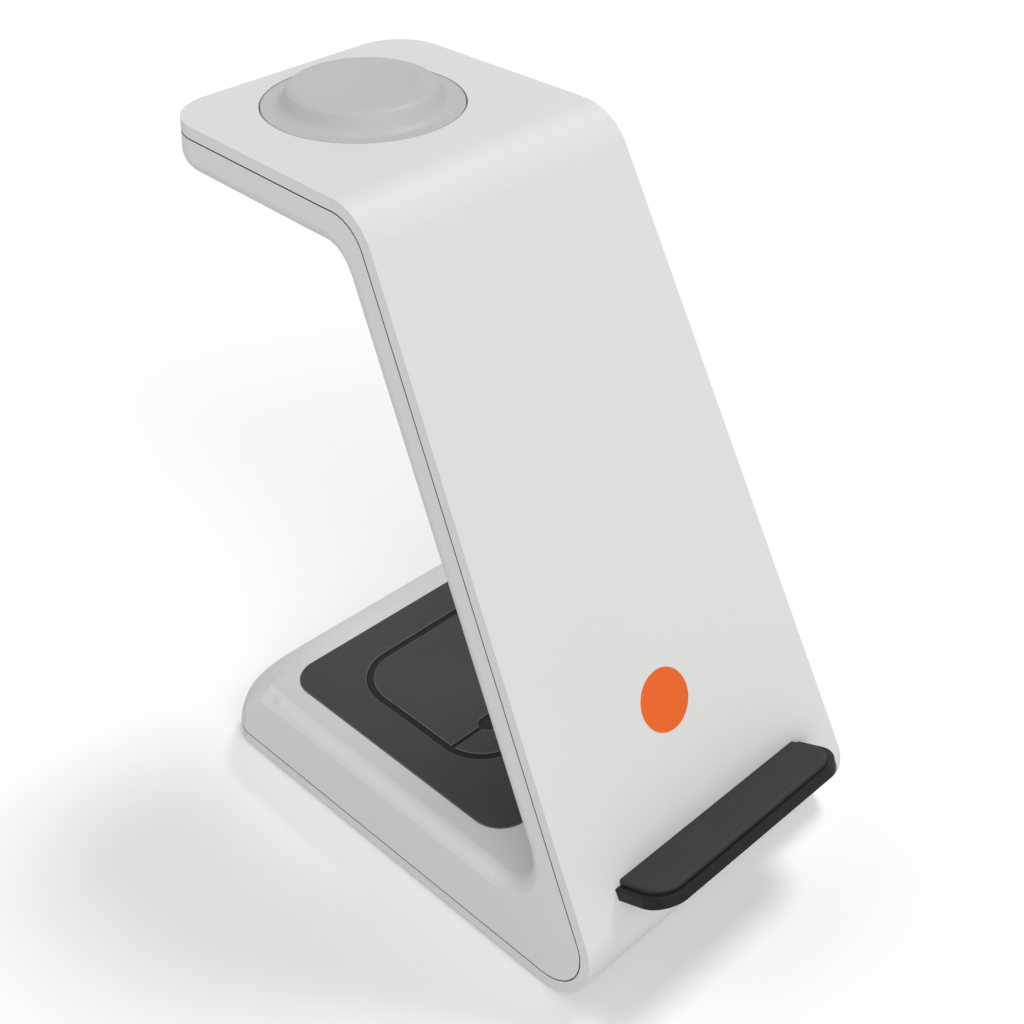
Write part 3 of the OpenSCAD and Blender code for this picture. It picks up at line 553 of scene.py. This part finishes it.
# %% Ledge strip and bracket
strip = merged_copy("ledge_pad")
bracket = merged_copy("ledge_bracket")
panel_face = merged_copy("outer_shell")
edges = open_edges(strip, [bracket, panel_face], reach=4 * mm, bend=50)
round_edges(strip, edges, 0.7 * mm, segments=4)
make_piece("ledge_strip", strip, [ledge_rubber], ["ledge_pad"])
edges = open_edges(bracket, [panel_face], reach=4 * mm, bend=50)
round_edges(bracket, edges, 0.2 * mm, segments=2)
make_piece("ledge_arm", bracket, [bracket_black], ["ledge_bracket"])
panel_face.free()

# %% [markdown]
# ## A plain accent
# A thin round inlay of orange plastic sits low on the panel, with nothing on it. A disc is
# drawn flat, given a little height, and its rim is rounded before it is laid on the panel.

# %% Accent disc
disc_radius = 7.8 * mm
disc_height = 0.35 * mm
disc_up_panel = 63.5 * mm
disc_aside = -2.8 * mm
let_in = 0.2 * mm
disc = bmesh.new()
bmesh.ops.create_circle(disc, cap_ends=True, radius=disc_radius, segments=96)
risen = bmesh.ops.extrude_face_region(disc, geom=list(disc.faces))
top = [item for item in risen["geom"] if isinstance(item, bmesh.types.BMVert)]
bmesh.ops.translate(disc, verts=top, vec=(0, 0, disc_height))
bmesh.ops.recalc_face_normals(disc, faces=disc.faces)
rim = [edge for edge in disc.edges if all(vert.co.z > 0.3 * mm for vert in edge.verts)]
round_edges(disc, rim, 0.1 * mm, segments=2)
seat = on_panel(disc_up_panel) @ Matrix.Translation((disc_aside, 0, -let_in))
bmesh.ops.transform(disc, matrix=seat, verts=disc.verts)
make_piece("accent_disc", disc, [accent_orange], [])

# %% [markdown]
# ## Floor, world and lamps
# The world gives even light from all sides. A high sun from the right throws the wide soft
# shadow, a broad one from the front fills the panel, and a weak one from behind lifts the pad
# and the back of the base. The floor is nearly white and keeps that shadow. What the camera
# sees of the world is plain white.

# %% Floor
lit_by_floor = 0.65
seen_floor = 1.06
floor_shape = bmesh.new()
bmesh.ops.create_grid(floor_shape, x_segments=1, y_segments=1, size=6)
floor_mesh = bpy.data.meshes.new("floor")
floor_shape.to_mesh(floor_mesh)
floor_shape.free()
floor = bpy.data.objects.new("floor", floor_mesh)
bpy.context.collection.objects.link(floor)
paper = bpy.data.materials.new("paper_floor")
paper.use_nodes = True
tree = paper.node_tree
tree.nodes.remove(tree.nodes["Principled BSDF"])
matt = tree.nodes.new("ShaderNodeBsdfDiffuse")
rays = tree.nodes.new("ShaderNodeLightPath")
paper_level = tree.nodes.new("ShaderNodeMapRange")
paper_level.inputs["To Min"].default_value = lit_by_floor
paper_level.inputs["To Max"].default_value = seen_floor
link(tree, rays.outputs["Is Camera Ray"], paper_level.inputs["Value"])
link(tree, paper_level.outputs["Result"], matt.inputs["Color"])
link(tree, matt.outputs["BSDF"], tree.nodes["Material Output"].inputs["Surface"])
floor_mesh.materials.append(paper)

# %% World
even_light = 0.35
plain_white = 1.0
world = bpy.data.worlds.new("studio_world")
bpy.context.scene.world = world
world.use_nodes = True
tree = world.node_tree
back = tree.nodes["Background"]
back.inputs["Color"].default_value = (1, 1, 1, 1)
rays = tree.nodes.new("ShaderNodeLightPath")
seen = tree.nodes.new("ShaderNodeMath")
seen.operation = "MAXIMUM"
seen_too = tree.nodes.new("ShaderNodeMath")
seen_too.operation = "MAXIMUM"
level = tree.nodes.new("ShaderNodeMapRange")
level.inputs["To Min"].default_value = even_light
level.inputs["To Max"].default_value = plain_white
link(tree, rays.outputs["Is Camera Ray"], seen.inputs[0])
link(tree, rays.outputs["Is Glossy Ray"], seen.inputs[1])
link(tree, seen.outputs[0], seen_too.inputs[0])
link(tree, rays.outputs["Is Transmission Ray"], seen_too.inputs[1])
link(tree, seen_too.outputs[0], level.inputs["Value"])
link(tree, level.outputs["Result"], back.inputs["Strength"])


# %% Lamps
def sun(name, towards, strength, softness):
    """A soft sun that shines from that direction."""
    lamp = bpy.data.lights.new(name, "SUN")
    lamp.energy = strength
    lamp.angle = math.radians(softness)
    holder = bpy.data.objects.new(name, lamp)
    bpy.context.collection.objects.link(holder)
    holder.rotation_euler = Vector(towards).to_track_quat("Z", "Y").to_euler()


sun("key_sun", (0.455, 0.02, 0.873), 1.08, 18)
sun("front_sun", (-0.48, -0.75, 0.45), 1.72, 60)
sun("back_sun", (-0.35, 0.75, 0.56), 0.45, 60)
bpy.context.scene.view_settings.view_transform = "Standard"
